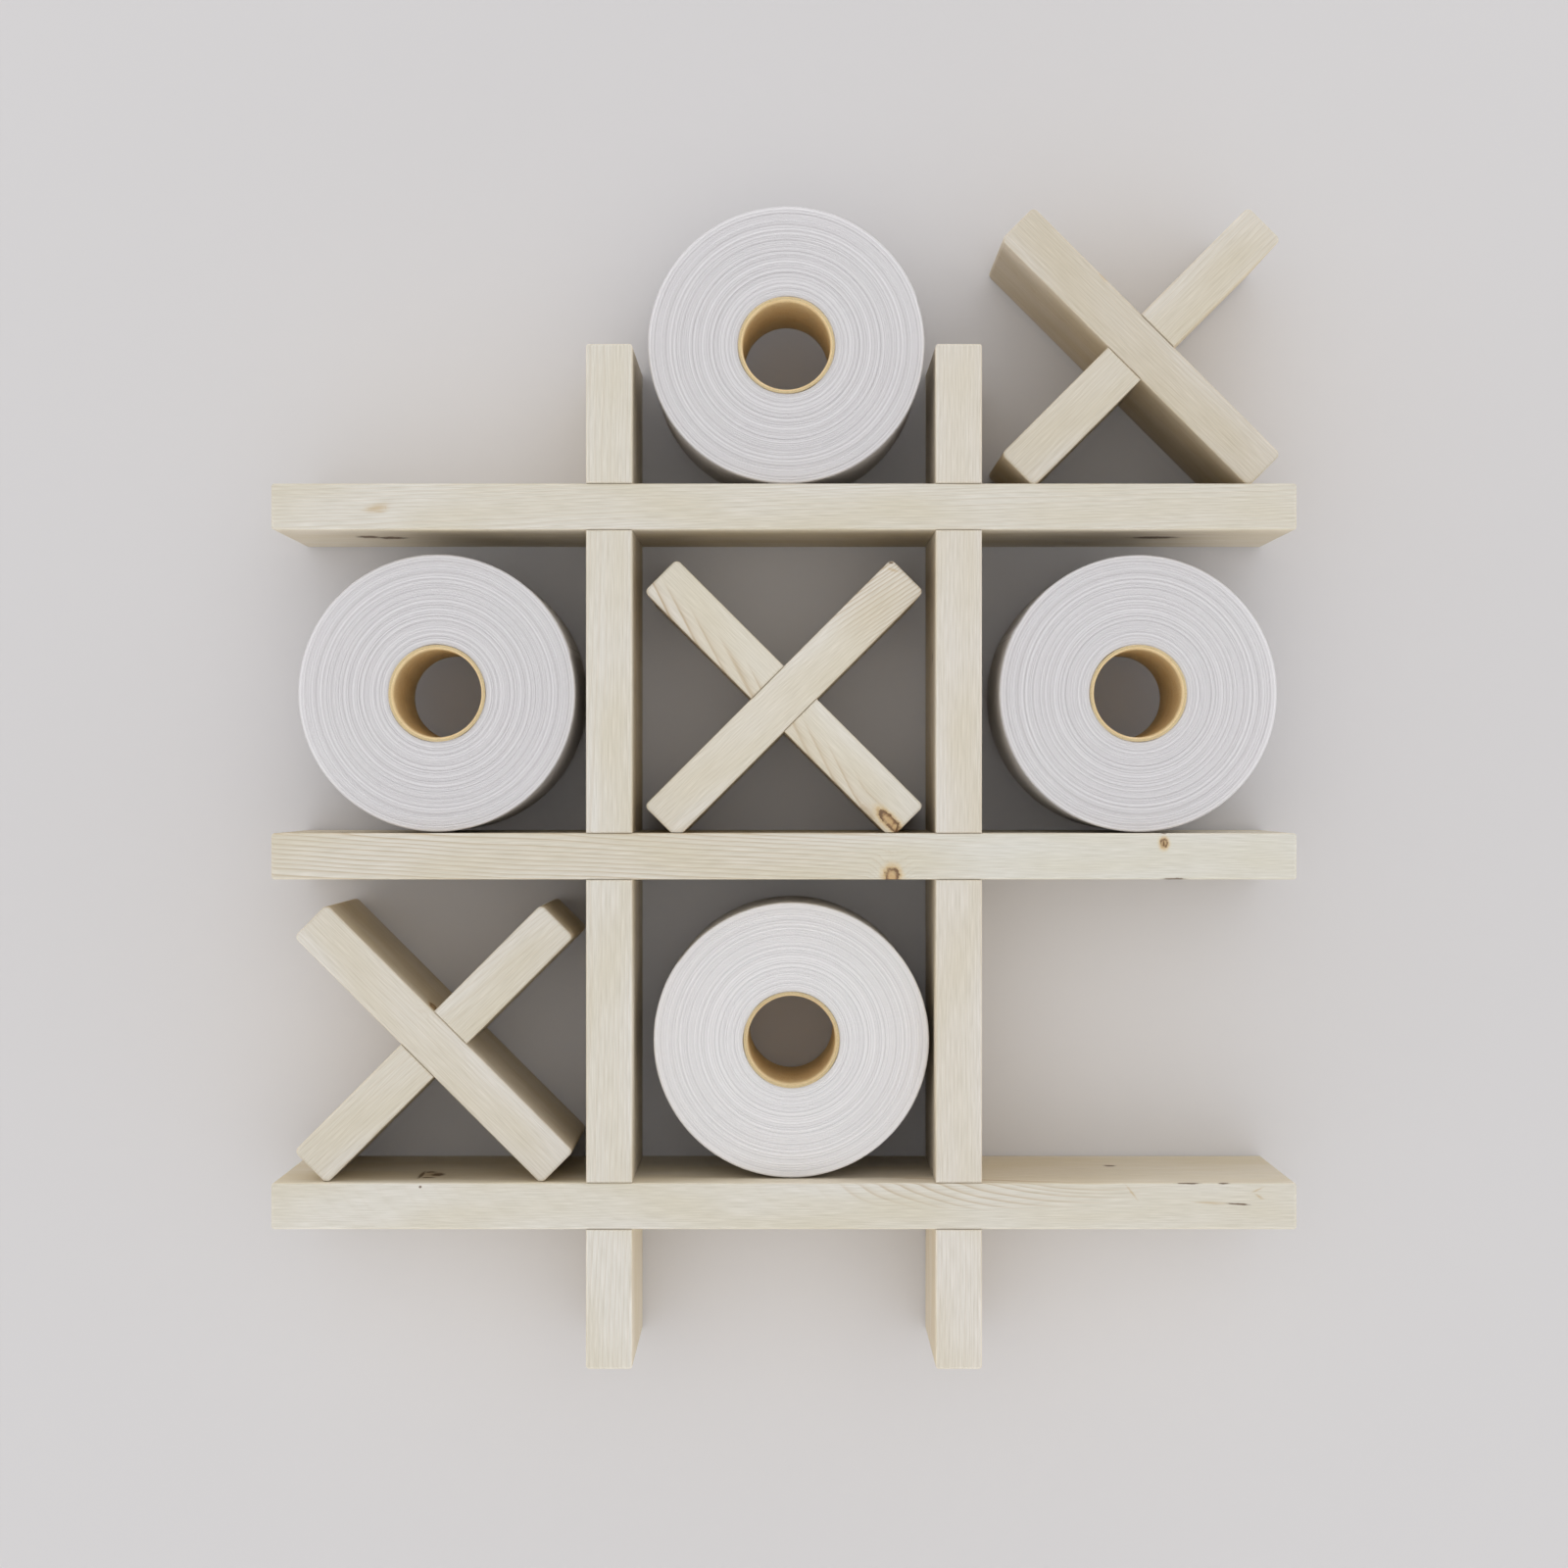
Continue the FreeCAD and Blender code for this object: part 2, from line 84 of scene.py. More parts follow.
# %% Colour and node helpers
def linear(hex_colour):
    """An sRGB hex colour as linear RGBA."""
    parts = [int(hex_colour[i : i + 2], 16) / 255 for i in (1, 3, 5)]
    return [c / 12.92 if c <= 0.04045 else ((c + 0.055) / 1.055) ** 2.4 for c in parts] + [1]


def add(tree, kind, inputs=(), out=0, stops=(), **settings):
    """A new node, of which one output is returned, or all of them where out is None.

    inputs maps its sockets to constants or to other outputs, and stops fills a colour ramp.
    """
    node = tree.nodes.new("ShaderNode" + kind)
    for name, setting in settings.items():
        setattr(node, name, setting)
    for socket, given in dict(inputs).items():
        if isinstance(given, bpy.types.NodeSocket):
            tree.links.new(given, node.inputs[socket])
        else:
            node.inputs[socket].default_value = given
    for i, (position, hex_colour) in enumerate(stops):
        marks = node.color_ramp.elements
        mark = marks[i] if i < 2 else marks.new(position)
        mark.position, mark.color = position, linear(hex_colour)
    return node.outputs if out is None else node.outputs[out]


def new_material(name):
    """An empty node material and its tree."""
    material = bpy.data.materials.new(name)
    material.use_nodes = True
    material.node_tree.nodes.clear()
    return material, material.node_tree


FACTOR, COLOUR_A, COLOUR_B, MIXED = 0, 6, 7, 2  # sockets of a Mix node that mixes colours
print("spruce cream in linear light", [round(c, 3) for c in linear("#d6d0c4")])


# %% Where a point is and how its face is turned
def millimetres(tree, centre=Vector()):
    """Places in mm, counted from a centre that is given in mm in the frame."""
    place = add(tree, "TexCoord", out="Object")
    return add(tree, "Mapping", {"Vector": place, "Location": -centre, "Scale": (1 / MM,) * 3})


def turned_to_front(tree):
    """1 on a face turned square to the front or the back, and 0 on a deep face."""
    normal = add(tree, "TexCoord", out="Normal")
    depth = add(tree, "SeparateXYZ", {0: normal}, "Y")
    return add(tree, "Math", {0: depth}, operation="ABSOLUTE")


print("1 mm is", MM, "m")

# %% [markdown]
# ## The wall, the floor and the light
# The holder only looks right in front of a wall: the wall is what makes the cells turn dark towards
# the back. A plain pale matt plane stands just behind the grid, and a plain pale floor lies below.
# The back of the wall plane lets light and sight through, so the holder can also be looked at from
# behind.
#
# The light is that of a bright room with no lamp of its own. Most of it comes from in front, as from
# a wide window behind the viewer, and some from the far sides, so the boards are brightest at their
# front edges and turn dark towards the wall. Lamps could do this too, but a sky whose strength changes
# with direction gives the same soft darkening between the boards with less noise.


# %% Stage planes
def stage_plane(name, corners, material):
    mesh = bpy.data.meshes.new(name)
    mesh.from_pydata(corners, [], [(0, 1, 2, 3)])
    plane = bpy.data.objects.new(name, mesh)
    plane.data.materials.append(material)
    scene.collection.objects.link(plane)
    return plane


def matt_paint(name, hex_colour, passed_by):
    """Flat paint: no gloss and no pattern, so that nothing draws the eye from the object.

    Its back is seen through, and so is its front for the kinds of ray in passed_by.
    """
    material, tree = new_material(name)
    paint = add(tree, "BsdfDiffuse", {"Color": linear(hex_colour), "Roughness": 0.0})
    see_through = add(tree, "BsdfTransparent")
    rays = add(tree, "LightPath", out=None)
    gone = add(tree, "NewGeometry", out="Backfacing")
    for ray in passed_by:
        gone = add(tree, "Math", {0: gone, 1: rays[ray]}, operation="MAXIMUM")
    surface = add(tree, "MixShader", {0: gone, 1: paint, 2: see_through})
    add(tree, "OutputMaterial", {"Surface": surface}, None)
    return material


WALL_GAP = 0.5 * MM
REACH, FLOOR_DROP, ROOM_HEIGHT = 4.0, 0.95, 3.0  # metres
wall = stage_plane(
    "wall",
    [
        (-REACH, WALL_GAP, -FLOOR_DROP),
        (REACH, WALL_GAP, -FLOOR_DROP),
        (REACH, WALL_GAP, ROOM_HEIGHT),
        (-REACH, WALL_GAP, ROOM_HEIGHT),
    ],
    # A ray that has come through the back of a plane goes through the next one too
    matt_paint("matt_wall_paint", "#d3d1d2", ["Transparent Depth"]),
)
floor = stage_plane(
    "floor",
    [
        (-REACH, -REACH, -FLOOR_DROP),
        (REACH, -REACH, -FLOOR_DROP),
        (REACH, REACH, -FLOOR_DROP),
        (-REACH, REACH, -FLOOR_DROP),
    ],
    # The floor is seen, but keeps no light from the holder
    matt_paint("matt_floor_paint", "#dcdad8", ["Is Diffuse Ray", "Is Shadow Ray"]),
)
print("stage:", wall.name, "and", floor.name)

# %% Room light
LIGHT_ROUND = 0.15  # strength from all round
LIGHT_WIDE, WIDE_FALL = 1.8, 5.0  # added from the sides, above and below, and how fast it falls off
LIGHT_FRONT, FRONT_FALL = 2.65, 7.0  # added from in front, and how fast it falls off
LIGHT_BEHIND = 0.8  # added from behind the wall
room = bpy.data.worlds.new("bright_room")
room.use_nodes = True
tree = room.node_tree
tree.nodes.clear()
direction = add(tree, "TexCoord", out="Generated")
depth = add(tree, "SeparateXYZ", {0: direction}, "Y")
front = add(tree, "MapRange", {"Value": depth, "From Min": 0.0, "From Max": -1.0})
front = add(tree, "Math", {0: front, 1: FRONT_FALL}, operation="POWER")
behind = add(tree, "MapRange", {"Value": depth, "From Min": 0.0, "From Max": 1.0})
wide = add(tree, "Math", {0: depth, 1: depth}, operation="MULTIPLY")
wide = add(tree, "Math", {0: 1.0, 1: wide}, operation="SUBTRACT")
wide = add(tree, "Math", {0: wide, 1: WIDE_FALL}, operation="POWER")
strength = LIGHT_ROUND
for lit, level in ((wide, LIGHT_WIDE), (front, LIGHT_FRONT), (behind, LIGHT_BEHIND)):
    strength = add(tree, "Math", {0: lit, 1: level, 2: strength}, operation="MULTIPLY_ADD")

# What is looked at directly or mirrored is an even pale grey
light = add(tree, "Background", {"Color": linear("#ffffff"), "Strength": strength})
seen = add(tree, "Background", {"Color": linear("#dcdbda"), "Strength": 1.0})
rays = add(tree, "LightPath", out=None)
looked_at = rays["Is Camera Ray"]
for ray in ("Is Glossy Ray", "Is Transmission Ray"):
    looked_at = add(tree, "Math", {0: looked_at, 1: rays[ray]}, operation="MAXIMUM")
sky = add(tree, "MixShader", {0: looked_at, 1: light, 2: seen})
add(tree, "OutputWorld", {"Surface": sky}, None)
scene.world = room
scene.view_settings.view_transform = "Standard"
level = LIGHT_ROUND + LIGHT_WIDE / (WIDE_FALL + 1) + 2 * LIGHT_FRONT / (FRONT_FALL + 2)
print("a face turned to the room is lit at", round(level, 2))

# %% [markdown]
# ## Planed spruce
# The boards are spruce: cream early wood with thin tan lines of late wood, one pair for each year.
# A plane leaves it matt, with a slight ridge at each late line. A striped texture could be laid along
# each board, but then the ends and the wide faces would not agree with the front. So the rings here
# are real ones: cylinders round a pith line that each board was sawn at some distance from. Where the
# pith lies nearly level with a face, the rings come out as long arches, and end grain shows as arcs.
#
# Spruce this pale is mostly plain. Its figure shows in a few places only, so each board also says
# where that is. The wide faces are painted lighter and warmer than the front edges: this is painted
# light, standing in for the light that bounces onto them between the boards.

# %% Where each board was sawn
# turn      lays the board's length along X, in degrees about Y
# pith      a point of the pith line, in mm from the middle of the board: along, deep, across
# lean      tilt of the pith line in degrees, about the deep and the across direction
# ring      mean width of a year ring in mm
# late      how dark the late wood is, from 0 to 1
# early     colour of the early wood
# shows     where the figure is strong: place along and across, then its half sizes there, in mm
# rest      share of the figure elsewhere, and the colour of the early wood there
SPRUCE = {
    "shelf_top": dict(
        turn=0, pith=(0, -20, -62), lean=(0.8, 2.0), ring=1.3, late=0.26, early="#ddd9d1"
    ),
    "shelf_middle": dict(
        turn=0,
        pith=(0, -30, -85),
        lean=(-3.6, 1.0),
        ring=1.8,
        late=0.66,
        early="#dcd7cd",
        shows=(-120, 0, 175, 60),
        rest=(0.1, "#dedcd6"),
    ),
    "shelf_bottom": dict(
        turn=0,
        pith=(134, -57, 17),
        lean=(0.0, 13.6),
        ring=2.0,
        late=0.7,
        early="#dcd8d0",
        shows=(84, 6, 58, 7),
        rest=(0.06, "#dcd8d0"),
    ),
    "upright_left": dict(
        turn=90, pith=(0, 30, 75), lean=(0.7, 1.5), ring=1.5, late=0.2, early="#dfdbd4"
    ),
    "upright_right": dict(
        turn=90, pith=(0, -10, -90), lean=(-0.9, 1.0), ring=1.4, late=0.18, early="#dfdad3"
    ),
    "cross_top_right_front_bar": dict(
        turn=-45, pith=(20, -20, 48), lean=(4.0, 3.0), ring=1.3, late=0.2, early="#d5cec3"
    ),
    "cross_top_right_rear_bar": dict(
        turn=45, pith=(0, 10, -55), lean=(-2.0, 2.0), ring=1.4, late=0.18, early="#dad4ca"
    ),
    "cross_centre_front_bar": dict(
        turn=45,
        pith=(60, -40, -45),
        lean=(-12.0, 2.0),
        ring=1.5,
        late=0.75,
        early="#dfd9cf",
        shows=(70, 0, 32, 40),
        rest=(0.2, "#e0dbd2"),
    ),
    "cross_centre_rear_bar": dict(
        turn=-45,
        pith=(16.7, -54, 56.5),
        lean=(-18.0, 0.0),
        ring=4.9,
        late=0.8,
        early="#dfd9cf",
        shows=(0, -9.5, 200, 7.5),
        rest=(0.05, "#dfdad0"),
    ),
    "cross_bottom_left_front_bar": dict(
        turn=-45, pith=(0, -15, 60), lean=(1.5, 2.0), ring=1.5, late=0.16, early="#ddd8d0"
    ),
    "cross_bottom_left_rear_bar": dict(
        turn=45, pith=(0, 0, 52), lean=(-2.5, 3.0), ring=1.5, late=0.2, early="#dcd7ce"
    ),
}
print(len(SPRUCE), "pieces of spruce")

# %% Knots, stains and slits
# Each is a place in mm in the frame, its half sizes in mm along, deep and across, and the angle in
# degrees that it is turned from the length of its board. A knot is a cut branch with a bark rim, a
# stain is a tan patch beside one, and a slit is a resin pocket or a bark fleck: thin and dark.
KNOTS = {
    "shelf_middle": [(44.4, -112, -185.9, 2.8, 14, 3.3, 0), (156.4, -114, -172.6, 1.45, 12, 1.85, 0)],
    "cross_centre_rear_bar": [
        (43.0, -108, -163.0, 4.8, 16, 2.0, 0),
        (45.9, -108, -165.9, 2.4, 16, 1.9, 0),
    ],
    "cross_bottom_left_front_bar": [(-145.4, -96, -240.3, 2.0, 6, 2.0, 0)],
}
STAINS = {
    "shelf_top": [
        (-167.5, -114, -34.6, 6.5, 9, 2.4, -8),
        (-164.0, -114, -34.4, 1.6, 3, 0.45, 75),
        (-166.5, -114, -36.2, 4.2, 3, 0.4, 0),
    ],
    "shelf_bottom": [
        (-148.5, -80, -312.5, 6, 17, 3, 0),
        (143.2, -114, -316.4, 4.6, 6, 0.6, 52),
        (195, -114, -315.2, 3.4, 6, 0.5, -24),
        (195.6, -114, -318, 2.6, 6, 0.7, 32),
        (176, -114, -320.6, 9, 5, 0.6, 2),
    ],
    "cross_centre_front_bar": [(45.2, -109, -59.9, 3.8, 8, 0.9, 62)],
    "cross_top_right_front_bar": [(131.5, -109, 61.5, 4.5, 6, 1.3, 12)],
}
SLITS = {
    "shelf_top": [
        (-176, -68, -43.5, 4.5, 8, 1, 0),
        (-167, -62, -43.5, 6, 7, 1, 0),
        (157.6, -64, -43.5, 9, 7, 1, 0),
    ],
    "shelf_middle": [
        (160.5, -113, -187.3, 4.5, 2, 0.5, 0),
        (156.4, -112, -168.5, 1.2, 2, 0.6, 0),
        (156.3, -114, -172.8, 0.4, 5, 1.1, 0),
    ],
    "shelf_bottom": [
        (187, -114, -321.1, 4.2, 3, 0.4, 3),
        (140.1, -44, -312.5, 2.6, 3.0, 0.6, 0),
        (166.5, -113.4, -312.6, 4.5, 1.2, 0.4, 0),
        (181, -113.4, -312.6, 2.2, 1.2, 0.4, 0),
        (-149.7, -114, -314, 0.6, 2, 0.5, 0),
        (-152.3, -82, -312.5, 0.9, 13, 1, 0),
        (-149.5, -70, -312.5, 2.4, 2.6, 1, 0),
        (-145.5, -80, -312.5, 2.6, 6, 1, 0),
        (-148.5, -92, -312.5, 2.6, 2.0, 1, 0),
    ],
    "upright_right": [(62.5, -80, -94.9, 2.6, 1.6, 0.6, 0)],
    "cross_centre_front_bar": [(44.2, -109, -56.9, 0.9, 3, 0.4, 50)],
    "cross_centre_rear_bar": [(46.7, -109, -166.3, 1.8, 5, 0.45, 60)],
}
for name, marks in (("knots", KNOTS), ("stains", STAINS), ("slits", SLITS)):
    print(sum(map(len, marks.values())), name)


# %% Spruce: places on a board
def board_places(tree, board, turn):
    """Places in mm from the middle of a board, along, deep and across, and a way to get there."""
    turning = Euler((0, math.radians(turn), 0))
    matrix = turning.to_matrix()
    low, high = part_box(board)
    middle = (low + high) / 2 / MM
    place = add(tree, "TexCoord", out="Object")
    to_board = {"Vector": place, "Location": -(matrix @ middle), "Rotation": turning, "Scale": (1 / MM,) * 3}
    along = add(tree, "Mapping", to_board)
    return along, lambda point: matrix @ (Vector(point) - middle)


def nearest_mark(tree, along, on_board, marks):
    """Distance to the nearest of some marks, where 1 is the rim of a mark."""
    nearest = None
    for x, y, z, *half, tilt in marks:
        turning = (0, math.radians(tilt), 0)
        placed = {"Vector": along, "Location": on_board((x, y, z)), "Rotation": turning, "Scale": half}
        local = add(tree, "Mapping", placed, vector_type="TEXTURE")
        reach = add(tree, "VectorMath", {0: local}, "Value", operation="LENGTH")
        if nearest:
            reach = add(tree, "Math", {0: nearest, 1: reach}, operation="MINIMUM")
        nearest = reach
    return nearest


top_middle = sum(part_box("shelf_top"), Vector()) / 2 / MM
print("the middle of the top shelf is at", [round(c, 1) for c in top_middle], "mm")


# %% Spruce: the year rings
SWAY, SWAY_ALONG, SWAY_ACROSS = 5, 110, 30  # mm that a stem wanders, over that length and width
YEARS_SHIFT, YEARS_SPAN = 3.5, 9.0  # mm that good years move a ring, over so much of the radius
# Within a ring the colour deepens slowly, then stops sharply at the end of the year
YEAR = [
    (0.0, "#000000"),
    (1.0, "#000000"),
    (0.35, "#161616"),
    (0.72, "#a0a0a0"),
    (0.86, "#ffffff"),
    (0.93, "#e0e0e0"),
]


def year_rings(tree, along, slow, pith, lean, ring, push):
    """How much late wood there is, from 0 to 1, by the distance from a pith line that wanders."""
    sway = add(tree, "TexNoise", {"Vector": slow, "Scale": 1.0, "Detail": 2.0}, "Color")
    swayed = add(tree, "VectorMath", {0: sway, 1: (0, SWAY, SWAY), 2: along}, operation="MULTIPLY_ADD")
    leaning = Euler((0, math.radians(lean[0]), math.radians(lean[1])))
    heart = Vector(pith) + Vector((0, SWAY / 2, SWAY / 2))
    to_pith = {"Vector": swayed, "Location": -(leaning.to_matrix() @ heart), "Rotation": leaning}
    from_pith = add(tree, "Mapping", to_pith)
    flat = add(tree, "VectorMath", {0: from_pith, 1: (0, 1, 1)}, operation="MULTIPLY")
    radius = add(tree, "VectorMath", {0: flat}, "Value", operation="LENGTH")
    if push:
        radius = add(tree, "Math", {0: radius, 1: push}, operation="ADD")

    # Years differ: a slow change over the radius makes some rings wide and some narrow
    years = {"W": radius, "Scale": 1 / YEARS_SPAN, "Detail": 1.0}
    good_years = add(tree, "TexNoise", years, "Fac", noise_dimensions="1D")
    aged = add(tree, "Math", {0: good_years, 1: YEARS_SHIFT, 2: radius}, operation="MULTIPLY_ADD")
    phase = add(tree, "Math", {0: aged, 1: ring}, operation="DIVIDE")
    within = add(tree, "Math", {0: phase}, operation="FRACT")
    return add(tree, "ValToRGB", {"Fac": within}, stops=YEAR)


ring_widths = [cut["ring"] for cut in SPRUCE.values()]
print("rings from", min(ring_widths), "to", max(ring_widths), "mm wide")

# %% Spruce: where the figure shows
FIGURE_FROM, FIGURE_TO = 1.3, 0.6  # times the half sizes in shows, where the figure starts and is full
NO_LIMIT = 1e4  # mm


def figured(tree, along, figure, early, shows=None, rest=None):
    """The strength of the figure and the colour of the early wood."""
    if not shows:
        return figure, linear(early)
    x, z, half_x, half_z = shows
    zone = {"Vector": along, "Location": (x, 0, z), "Scale": (half_x, NO_LIMIT, half_z)}
    zone = add(tree, "Mapping", zone, vector_type="TEXTURE")
    zone = add(tree, "VectorMath", {0: zone}, "Value", operation="LENGTH")
    zone = {"Value": zone, "From Min": FIGURE_FROM, "From Max": FIGURE_TO}
    zone = add(tree, "MapRange", zone, interpolation_type="SMOOTHSTEP")
    kept = add(tree, "MapRange", {"Value": zone, "To Min": rest[0], "To Max": 1.0})
    figure = add(tree, "Math", {0: figure, 1: kept}, operation="MULTIPLY")
    cream = {FACTOR: zone, COLOUR_A: linear(rest[1]), COLOUR_B: linear(early)}
    return figure, add(tree, "Mix", cream, MIXED, data_type="RGBA")


print(sum("shows" in cut for cut in SPRUCE.values()), "pieces show their figure in one place")

# %% Spruce: knots, stains and slits in the colour
# From the heart of a knot to its bark rim, which lies at 0.4, and out into the stained wood
KNOT = [
    (0.0, "#bb9b6c"),
    (1.0, "#d8caab"),
    (0.13, "#c2a274"),
    (0.24, "#98744c"),
    (0.32, "#664628"),
    (0.4, "#6b4b2d"),
    (0.47, "#c2a578"),
    (0.6, "#d3c09b"),
]
KNOT_REACH = 2.5  # times its size, the stained wood included
KNOT_PUSH = 4.0  # mm that a knot pushes the rings aside
PUSH_FROM, PUSH_FULL = 4.0, 0.8  # times its size, where it starts to push and pushes most
RAGGED, FRAYED = 2.4, 0.9  # mm: sizes of the coarse and the fine unevenness of a rim
KNOT_RAGGED, KNOT_FRAYED = 0.7, 0.6  # how far they move the rim of a knot, in times its size
STAIN_STREAKED, SLIT_RAGGED = 1.6, 1.2  # the same for a stain, by its fibres, and for a slit
STAIN_EDGE, STAIN_FULL, STAIN_COVER = 1.9, 0.9, 0.6  # where it ends, is full, and how it covers
SLIT_EDGE, SLIT_FULL, SLIT_COVER = 2.0, 1.2, 0.85
KNOT_EDGE, KNOT_FULL, KNOT_COVER = 0.9 * KNOT_REACH, 1.0, 0.9


def ragged_knot(tree, along, ragged, knot):
    """The distance to a knot, made uneven so that its rim is ragged."""
    frayed = add(tree, "TexNoise", {"Vector": along, "Scale": 1 / FRAYED, "Detail": 3.0}, "Fac")
    for uneven, share in ((ragged, KNOT_RAGGED), (frayed, KNOT_FRAYED)):
        knot = add(tree, "Math", {0: uneven, 1: share, 2: knot}, operation="MULTIPLY_ADD")
        knot = add(tree, "Math", {0: knot, 1: share / 2}, operation="SUBTRACT")
    return knot


def stained(tree, colour, stain, fibre):
    """Streaky tan patches."""
    stain = add(tree, "Math", {0: fibre, 1: STAIN_STREAKED, 2: stain}, operation="MULTIPLY_ADD")
    cover = {"Value": stain, "From Min": STAIN_EDGE, "From Max": STAIN_FULL, "To Max": STAIN_COVER}
    cover = add(tree, "MapRange", cover, interpolation_type="SMOOTHSTEP")
    mixed = {FACTOR: cover, COLOUR_A: colour, COLOUR_B: linear("#bca379")}
    return add(tree, "Mix", mixed, MIXED, data_type="RGBA")


def knotted(tree, colour, knot, ragged):
    """Cut branches with a broken bark rim."""
    scaled = add(tree, "Math", {0: knot, 1: KNOT_REACH}, operation="DIVIDE")
    branch = add(tree, "ValToRGB", {"Fac": scaled}, stops=KNOT)
    broken = add(tree, "MapRange", {"Value": ragged, "From Min": 0.5, "From Max": 0.62, "To Max": 0.6})
    mixed = {FACTOR: broken, COLOUR_A: branch, COLOUR_B: linear("#c6aa7d")}
    branch = add(tree, "Mix", mixed, MIXED, data_type="RGBA")
    cover = {"Value": knot, "From Min": KNOT_EDGE, "From Max": KNOT_FULL, "To Max": KNOT_COVER}
    cover = add(tree, "MapRange", cover, interpolation_type="SMOOTHSTEP")
    return add(tree, "Mix", {FACTOR: cover, COLOUR_A: colour, COLOUR_B: branch}, MIXED, data_type="RGBA")


def slit_open(tree, colour, slit, ragged):
    """Thin dark slits."""
    slit = add(tree, "Math", {0: ragged, 1: SLIT_RAGGED, 2: slit}, operation="MULTIPLY_ADD")
    cover = {"Value": slit, "From Min": SLIT_EDGE, "From Max": SLIT_FULL, "To Max": SLIT_COVER}
    cover = add(tree, "MapRange", cover, interpolation_type="SMOOTHSTEP")
    mixed = {FACTOR: cover, COLOUR_A: colour, COLOUR_B: linear("#5e4630")}
    return add(tree, "Mix", mixed, MIXED, data_type="RGBA")


print("a knot stains the wood to", KNOT_REACH, "times its size")

# %% Spruce: the whole material
LATE_WOOD = "#b59c77"
# Painted light: the wide faces are made lighter and warmer than the front edges, for the light that bounces
# onto them between the boards
PAINTED_LIGHT_ON_WIDE_FACES = [wide / edge for wide, edge in zip(linear("#e0d5c1"), linear("#d6d0c4"))]
FIBRE_LONG, FIBRE_WIDE = 12, 0.5  # mm, drawn coarser: real fibres are finer than a pixel
PLANED_RIDGE = 0.05 * MM  # the plane leaves the hard late wood that much proud of the early wood


def planed_spruce(board, turn, pith, lean, ring, late, early, **zone):
    """Cream softwood: matt, with tan year lines that stand a hair proud."""
    material, tree = new_material(f"planed_spruce_{board}")
    along, on_board = board_places(tree, board, turn)
    knot, stain, slit = (
        nearest_mark(tree, along, on_board, marks.get(board, ())) for marks in (KNOTS, STAINS, SLITS)
    )
    ragged = add(tree, "TexNoise", {"Vector": along, "Scale": 1 / RAGGED, "Detail": 2.0}, "Fac")
    push = None
    if knot:
        knot = ragged_knot(tree, along, ragged, knot)
        push = {"Value": knot, "From Min": PUSH_FROM, "From Max": PUSH_FULL, "To Max": KNOT_PUSH}
        push = add(tree, "MapRange", push, interpolation_type="SMOOTHSTEP")

    # Year lines, stronger in some places than in others
    calm = (1 / SWAY_ALONG, 1 / SWAY_ACROSS, 1 / SWAY_ACROSS)
    slow = add(tree, "VectorMath", {0: along, 1: calm}, operation="MULTIPLY")
    late_wood = year_rings(tree, along, slow, pith, lean, ring, push)
    patch = add(tree, "TexNoise", {"Vector": slow, "Scale": 1.6, "Detail": 1.0}, "Fac")
    figure = {"Value": patch, "From Min": 0.3, "From Max": 0.7, "To Min": 0.45 * late, "To Max": late}
    figure, cream = figured(tree, along, add(tree, "MapRange", figure), early, **zone)
    line = add(tree, "Math", {0: late_wood, 1: figure}, operation="MULTIPLY")
    lined = {FACTOR: line, COLOUR_A: cream, COLOUR_B: linear(LATE_WOOD)}
    colour = add(tree, "Mix", lined, MIXED, data_type="RGBA")

    # Fibres, slow changes of tone, and painted light: deep faces lighter and warmer than the front edges
    fine = (1 / FIBRE_LONG, 1 / FIBRE_WIDE, 1 / FIBRE_WIDE)
    strands = add(tree, "VectorMath", {0: along, 1: fine}, operation="MULTIPLY")
    fibre = add(tree, "TexNoise", {"Vector": strands, "Scale": 1.0, "Detail": 3.0}, "Fac")
    grey = add(tree, "ValToRGB", {"Fac": fibre}, stops=[(0.3, "#ecebe7"), (0.7, "#ffffff")])
    tone = add(tree, "ValToRGB", {"Fac": patch}, stops=[(0.35, "#f8f5ec"), (0.65, "#ffffff")])
    wide = {"Value": turned_to_front(tree), "From Min": 0.9, "From Max": 0.2}
    wide = add(tree, "MapRange", wide)
    for amount, tint in ((1.0, grey), (1.0, tone), (wide, PAINTED_LIGHT_ON_WIDE_FACES)):
        tinted = {FACTOR: amount, COLOUR_A: colour, COLOUR_B: tint}
        colour = add(tree, "Mix", tinted, MIXED, data_type="RGBA", blend_type="MULTIPLY")
    if stain:
        colour = stained(tree, colour, stain, fibre)
    if knot:
        colour = knotted(tree, colour, knot, ragged)
    if slit:
        colour = slit_open(tree, colour, slit, ragged)

    relief = add(tree, "Math", {0: line, 1: 0.8, 2: fibre}, operation="MULTIPLY_ADD")
    bump = add(tree, "Bump", {"Height": relief, "Strength": 0.5, "Distance": PLANED_RIDGE})
    rough = add(tree, "MapRange", {"Value": fibre, "To Min": 0.62, "To Max": 0.8})
    surface = {"Base Color": colour, "Roughness": rough, "Normal": bump}
    surface |= {"IOR": 1.5, "Specular IOR Level": 0.12}
    add(tree, "OutputMaterial", {"Surface": add(tree, "BsdfPrincipled", surface)}, None)
    return material


for board, cut in SPRUCE.items():
    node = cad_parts[board]
    node.data.materials.clear()
    node.data.materials.append(planed_spruce(board, **cut))
    print(board, "is spruce with", cut["ring"], "mm rings")

# %% [markdown]
# ## Wound tissue paper
# A roll is one long sheet of soft paper wound on a card core. Its ends show the winding as fine
# uneven rings, and its outside has the free end of the sheet and rows of perforations. A smooth
# cylinder with rings drawn on it would look printed, so the end faces are modelled: rings of sheets
# that stand a few tenths of a millimetre proud or shy of each other, with a groove between them.

